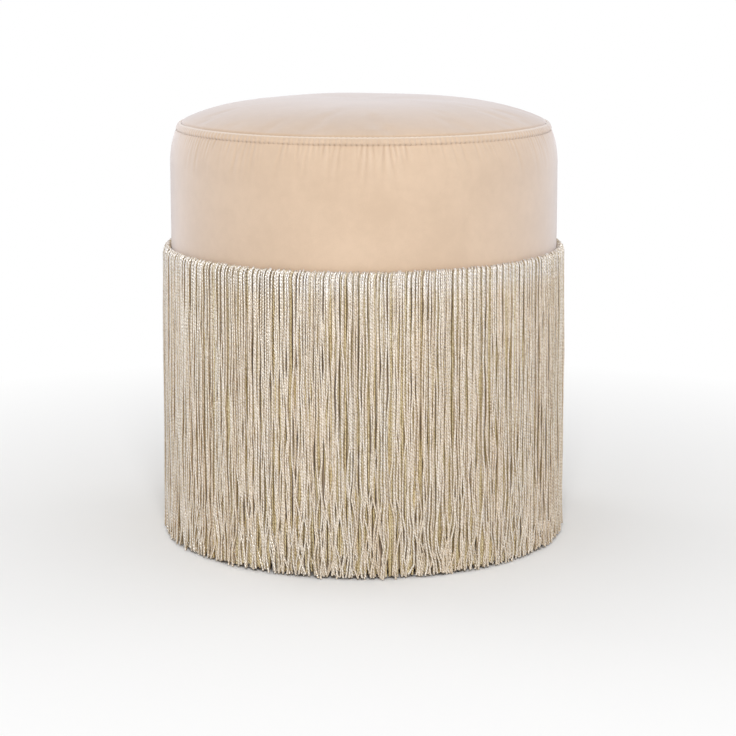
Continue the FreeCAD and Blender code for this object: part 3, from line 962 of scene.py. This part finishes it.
def chip_material():
    """Chipboard: flat chips of several browns, pressed together."""
    w = Paint("chipboard", Roughness=0.75, Specular_IOR_Level=0.25)
    chips = w.add("ShaderNodeTexVoronoi", {"Vector": w.place, "Scale": 420.0, "Randomness": 1.0})
    tone = w.parts(chips.outputs["Color"])["X"]
    return w.finish(w.mix(tone, chart(176, 142, 100), chart(214, 186, 146)), tone, 0.3, 0.2 * MM)


def metal_material(name, colour, roughness):
    w = Paint(name, Metallic=1.0, Roughness=roughness)
    wear = w.ramp(w.noise(w.place, 350.0, 3.0), 0.35, 0.65)
    darker = tuple(0.72 * c for c in colour[:3]) + (1.0,)
    return w.finish(w.mix(wear, darker, colour), w.noise(w.place, 1200.0), 0.1, 0.1 * MM)


# %% Dust cover and tape finishes
def dust_cloth_material():
    """Black spun cloth, pressed with a fine grid of bonding points."""
    w = Paint("dust_cloth", Roughness=0.95, Specular_IOR_Level=0.15)
    place = w.parts(w.place)
    dots = w.product(*(w.math("SINE", w.product(place[axis], 4200.0)) for axis in "XY"))
    tone = w.total(w.product(dots, 0.25), w.noise(w.place, 900.0, 3.0))
    return w.finish(w.mix(w.ramp(tone, 0.3, 0.8), chart(26, 26, 28), chart(58, 58, 60)), tone, 0.4, 0.2 * MM)


def tape_material():
    """Woven tape: ribs that run up it, crossed by fine picks."""
    w = Paint("tape", Roughness=0.7, Sheen_Weight=0.2)
    place = w.parts(w.place)
    ribs = w.math("SINE", w.product(w.math("ARCTAN2", place["Y"], place["X"]), 900.0))
    picks = w.math("SINE", w.product(place["Z"], 7000.0))
    weave = w.total(w.product(ribs, 0.6), w.product(picks, 0.4))
    colour = w.mix(w.ramp(weave, -1.0, 1.0), chart(206, 190, 160), chart(240, 230, 210))
    return w.finish(colour, weave, 0.5, 0.3 * MM)


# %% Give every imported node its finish
hardboard = speckled_material(
    "hardboard", chart(112, 78, 50), chart(146, 106, 70), 160.0, 900.0, 0.3, Roughness=0.8
)
glide_plastic = speckled_material(
    "glide_plastic", chart(30, 28, 27), chart(48, 45, 43), 120.0, 1500.0, 0.15, Roughness=0.45
)
glue = mottled_material(
    "hot_glue", chart(222, 206, 170), chart(240, 230, 206), 120.0, 260.0, 0.4 * MM, Roughness=0.3,
    Transmission_Weight=0.3, Specular_IOR_Level=0.5,
)
FINISHES = {
    chip_material(): ("base_board", "seat_board"),
    wood_material(): ("front_post", "right_post", "back_post", "left_post"),
    metal_material("zinc_screw", chart(214, 200, 150), 0.35): (
        "base_board_screws", "seat_board_screws", "glide_screws",
    ),
    hardboard: ("side_shell",),
    metal_material("staple_wire", chart(200, 202, 204), 0.3): (
        "shell_staples", "hem_staples", "dust_cover_staples",
    ),
    dust_cloth_material(): ("dust_cover",),
    glide_plastic: ("front_left_glide", "front_right_glide", "back_left_glide", "back_right_glide"),
    tape_material(): ("fringe_tape",),
    glue: ("tape_glue_bead",),
}
for material, names in FINISHES.items():
    for name in names:
        slots = bpy.data.objects[name].data.materials
        slots.clear()
        slots.append(material)
print(f"{sum(len(names) for names in FINISHES.values())} packed nodes have their finish")

# %% [markdown]
# ## The fringe
# A cord starts behind the tape, folds over its top and hangs to the floor. Hundreds of them hang side
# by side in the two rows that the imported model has. A third row behind them fills the gaps, and stray
# cords hang in front. Cords cling together in small bunches and leave narrow gaps, more so lower down,
# where they are free. Their ends flick about and are cut unevenly.
#
# Geometry Nodes make a row: one straight line of points for each cord, and then a field that puts
# point number so-and-so of cord number so-and-so in its place. The field adds up the fold, the drop, a
# sway that neighbours share, and each cord's own wander.

# %% A Geometry Nodes tree that hangs a row of cords
FOLD_POINTS = 5
CORD_POINTS = 20
CORD = 2.0 * MM
CORD_SIDES = 5
# A tube with five flat sides looks thinner than a round cord.
THICKNESS = CORD * 1.06
ROOT_RADIUS = tape_high.x - TAPE_THICKNESS - 0.1 * MM - CORD / 2
STAGGER = 3.6 * MM
FLARE = 2.0 * MM
LEAN = 2.6 * MM


def capture(w, geometry, kind, name, value):
    """Keeps a value on each point, and hands back the geometry and the kept value."""
    node = w.add("GeometryNodeCaptureAttribute", domain="POINT")
    node.capture_items.new(kind, name)
    w.plug(node.inputs[0], geometry)
    w.plug(node.inputs[1], value)
    return node.outputs[0], node.outputs[1]


def store(w, geometry, kind, name, value):
    """Writes a value into the mesh, where a material can read it."""
    inputs = {"Geometry": geometry, "Name": name, "Value": value}
    return w.make("GeometryNodeStoreNamedAttribute", inputs, data_type=kind, domain="POINT")


def fringe_row(name, row, finish):
    w = new_tree(name)
    points = w.shape("Points", Count=row.count)
    points, cord_number = capture(w, points, "INT", "number", w.shape("InputIndex"))
    spline = w.add("GeometryNodeSplineParameter").outputs

    def chance(salt):
        """One random number from 0 to 1 for each cord."""
        inputs = {"ID": cord_number, "Seed": row.seed + salt}
        return w.add("FunctionNodeRandomValue", inputs, data_type="FLOAT").outputs[1]

    beads = w.shape("ResampleCurve", Curve=w.shape("CurvePrimitiveLine"), Count=CORD_POINTS)
    cords = w.shape("RealizeInstances", Geometry=w.shape("InstanceOnPoints", Points=points, Instance=beads))
    bead_place = cord_place(w, row, spline["Index"], cord_number, chance)
    cords = w.shape("SetPosition", Geometry=cords, Position=bead_place)
    cords = w.shape("SetCurveRadius", Curve=cords, Radius=w.scaled(chance(7), 0.24, 0.88))
    cords, along = capture(w, cords, "FLOAT", "along", spline["Length"])
    ring = w.shape("CurvePrimitiveCircle", Resolution=CORD_SIDES, Radius=THICKNESS / 2)
    ring, turned = capture(w, ring, "FLOAT", "round", w.product(spline["Factor"], FULL_TURN))
    tube = w.shape("CurveToMesh", Curve=cords, Profile_Curve=ring, Fill_Caps=True)
    twist = w.vector(w.math("COSINE", turned), w.math("SINE", turned), along)
    tube = store(w, tube, "FLOAT_VECTOR", "twist", twist)
    tube = store(w, tube, "FLOAT", "cord_shade", chance(5))
    return run_tree(name, w, w.shape("SetShadeSmooth", Geometry=tube), finish)


def cord_place(w, row, bead, cord_number, chance):
    """The field that gives each bead of each cord its place."""
    fold = w.math("MINIMUM", w.math("DIVIDE", bead, FOLD_POINTS - 1), 1.0)
    hanging = w.math("DIVIDE", w.minus(bead, FOLD_POINTS - 1), CORD_POINTS - FOLD_POINTS)
    share = w.math("MAXIMUM", hanging, 0.0)
    # The beads lie closer together near the end, where the cord bends most.
    fall = w.minus(w.product(share, 1.55), w.product(share, share, 0.55))
    fold_angle = w.product(fold, math.pi)

    def centred(value):
        """A number from 0 to 1 moved to run from -1 to 1."""
        return w.scaled(value, 2.0, -1.0)

    pitch_angle = w.math("DIVIDE", FULL_TURN, row.count)
    angle = w.product(w.total(cord_number, row.first), pitch_angle)
    x, y = w.math("COSINE", angle), w.math("SINE", angle)
    rise = w.product(row.rise, w.scaled(chance(12), 0.3, 0.85))
    centre = w.minus(w.minus(row.top, row.rise), THICKNESS / 2)
    end = w.total(row.end, w.product(chance(1), STAGGER))
    height = w.total(centre, w.product(w.math("SINE", fold_angle), rise))
    height = w.minus(height, w.product(fall, w.minus(centre, end)))

    seed_step = w.product(row.seed, 7.3)

    def shared_noise(scale, tallness, shift, detail):
        """A sway from -1 to 1 that neighbours share."""
        tall = w.total(w.product(height, tallness), seed_step, shift)
        place = w.vector(w.total(x, 0.1 * shift), y, tall)
        return centred(w.noise(place, scale, detail, 0.55))

    def own_noise(tallness, shift):
        """A sway from -1 to 1 that is one cord's own."""
        place = w.vector(w.product(cord_number, 3.7), w.product(height, tallness), w.total(seed_step, shift))
        return centred(w.noise(place, 1.0, 1.0))

    free = w.ramp(fall, 0.0, 0.15)
    lower = w.ramp(fall, 0.2, 1.0, smooth=False)
    tip = w.math("POWER", w.ramp(fall, 0.84, 1.0, smooth=False), 1.8)
    hook = w.ramp(fall, 0.95, 1.0, smooth=False)
    bunch = w.product(shared_noise(16.0, 0.5, 0.0, 2.0), w.total(0.55, w.product(lower, 0.9)), free)
    small_bunch = w.product(shared_noise(34.0, 1.0, 20.0, 1.0), w.total(0.3, w.product(lower, 0.5)), free)
    lock = w.product(shared_noise(62.0, 0.55, 80.0, 0.0), w.product(lower, lower), 1.7)
    sweep = w.total(w.product(centred(chance(2)), 0.45), w.product(shared_noise(42.0, 0.0, 60.0, 1.0), 2.2))
    side = w.total(
        w.product(centred(chance(11)), row.loose),
        w.product(w.total(bunch, small_bunch, lock), row.bunch, 2.0),
        w.product(own_noise(22.0, 0.0), row.wander, 2.0, free),
        w.product(sweep, row.flick, tip),
        w.product(centred(chance(8)), row.flick, hook, 0.5),
        w.product(LEAN, w.minus(1.0, fold)),
    )
    out = w.total(
        w.minus(row.bend, w.product(w.math("COSINE", fold_angle), row.bend)),
        w.product(FLARE, fall),
        w.product(centred(chance(13)), row.swell, 0.9, fold),
        w.product(shared_noise(9.0, 0.6, 40.0, 1.0), row.swell, 1.6, free),
        w.product(own_noise(16.0, 30.0), row.swell, free),
        w.product(w.minus(w.product(chance(3), 0.8), 0.5), row.flick, tip),
    )
    radius = w.total(ROOT_RADIUS, out)
    turned = w.total(angle, w.math("DIVIDE", side, radius))
    x, y = w.product(radius, w.math("COSINE", turned)), w.product(radius, w.math("SINE", turned))
    return w.vector(x, y, height)


# %% Hang the rows
CORDS_PER_ROW = 280
STRAY_CORDS = 230
BACKING_CORDS = 560
INNER_ROW_RADIUS = tape_high.x + 0.7 * MM + CORD / 2
OUTER_ROW_RADIUS = INNER_ROW_RADIUS + 1.4 * MM
# How far cords stray, in millimetres. The ones behind hang straighter.
FREE_HANG = {"loose": 1.8, "bunch": 2.0, "wander": 1.4, "swell": 1.0, "flick": 5.0}
STRAIGHT_HANG = {"loose": 0.5, "bunch": 0.4, "wander": 0.6, "swell": 0.3, "flick": 1.4}


def hang_row(name, count, reach, first, seed, sizes, nodes=(), finish=silk, hang=FREE_HANG):
    """Hangs one row at its reach from the axis. Sizes are its fold's rise, its top's drop and its end's
    height, in millimetres."""
    rise, drop, end = sizes
    strays = {key: value * MM for key, value in hang.items()}
    cords = fringe_row(name, SimpleNamespace(
        count=count, first=first, seed=seed, bend=(reach - ROOT_RADIUS) / 2, rise=rise * MM,
        top=FRINGE_TOP - drop * MM, end=end * MM, **strays,
    ), finish)
    finish_piece(cords, finish, "fringe_cord", *nodes)
    return cords


fringe_rows = [
    hang_row("fringe_backing_cords", BACKING_CORDS, INNER_ROW_RADIUS - 0.6 * MM, 0.5, 6, (5.0, 0.8, 2.4),
             finish=shaded_silk, hang=STRAIGHT_HANG),
    hang_row("fringe_inner_cords", CORDS_PER_ROW, INNER_ROW_RADIUS, 0.0, 3, (5.0, 0.5, 1.4),
             ["fringe_inner_row"]),
    hang_row("fringe_outer_cords", CORDS_PER_ROW, OUTER_ROW_RADIUS, 0.5, 4, (6.5, 0.0, 0.8),
             ["fringe_outer_row"]),
    hang_row("fringe_stray_cords", STRAY_CORDS, OUTER_ROW_RADIUS + 0.4 * MM, 0.2, 5, (6.5, 0.0, 0.8)),
]

# %% [markdown]
# ## What the soft pieces are
# The band was cut as one long strip, as long as the way round the seat and as wide as the way from the
# rim down the side and under the base. It is stretched over the padding, and the fringe is its trim.
# The dust cover is a disc.

# %% [markdown]
# ## Floor and light
# The floor is pale and plain. Far from the tuffet the camera sees it fade to white, so no horizon shows,
# and close by it keeps the shadow. A plain white sky gives most of the light. One soft lamp in front
# shows the folds, and two weaker ones behind, to the left and right, light the edges.

# %% Floor
FLOOR_SIDE = 30.0
FADE_START = 0.22
FADE_END = 0.82


def add_floor():
    w = Paint("floor", Base_Color=chart(239, 239, 239), Roughness=0.8, Specular_IOR_Level=0.1)
    seen = w.add("ShaderNodeLightPath").outputs["Is Camera Ray"]
    fade = w.product(w.ramp(w.along("LENGTH", w.place), FADE_START, FADE_END, smooth=False), seen)
    white = w.make("ShaderNodeEmission", {"Color": WHITE, "Strength": 1.0})
    blend = w.make("ShaderNodeMixShader", {0: fade, 1: w.shader.outputs[0], 2: white})
    w.plug(w.tree.nodes["Material Output"].inputs["Surface"], blend)
    half = FLOOR_SIDE / 2
    corners = [(-half, -half, 0), (half, -half, 0), (half, half, 0), (-half, half, 0)]
    floor = new_piece("floor", corners, [(0, 1, 2, 3)])
    floor.data.materials.append(w.material)


add_floor()


# %% World and lamps
SKY = 0.6


def add_world():
    """A white sky: at full strength where it is seen, mirrored or seen through, and at SKY as light."""
    world = bpy.data.worlds.new("studio")
    scene.world = world
    world.use_nodes = True
    w = Wiring(world.node_tree)
    rays = w.add("ShaderNodeLightPath").outputs
    seen = w.math("MAXIMUM", w.math("MAXIMUM", rays["Is Camera Ray"], rays["Is Glossy Ray"]),
                  rays["Is Transmission Ray"])
    background = world.node_tree.nodes["Background"]
    w.plug(background.inputs["Color"], WHITE)
    w.plug(background.inputs["Strength"], w.ramp(seen, 0.0, 1.0, SKY, 1.0, smooth=False))


def add_lamp(name, place, target, side, power):
    data = bpy.data.lights.new(name, "AREA")
    set_all(data, shape="SQUARE", size=side, energy=power)
    lamp = add_object(name, data)
    lamp.location = place
    lamp.rotation_euler = (Vector(target) - Vector(place)).to_track_quat("-Z", "Y").to_euler()


add_world()
add_lamp("front_softbox", (0.05, -2.2, 1.7), (0, 0, 0.25), 0.6, 34)
add_lamp("left_softbox", (-1.8, 1.3, 0.8), (0, 0, 0.2), 1.0, 11)
add_lamp("right_softbox", (2.1, 0.9, 0.8), (0, 0, 0.2), 1.0, 7)
scene.view_settings.view_transform = "Standard"
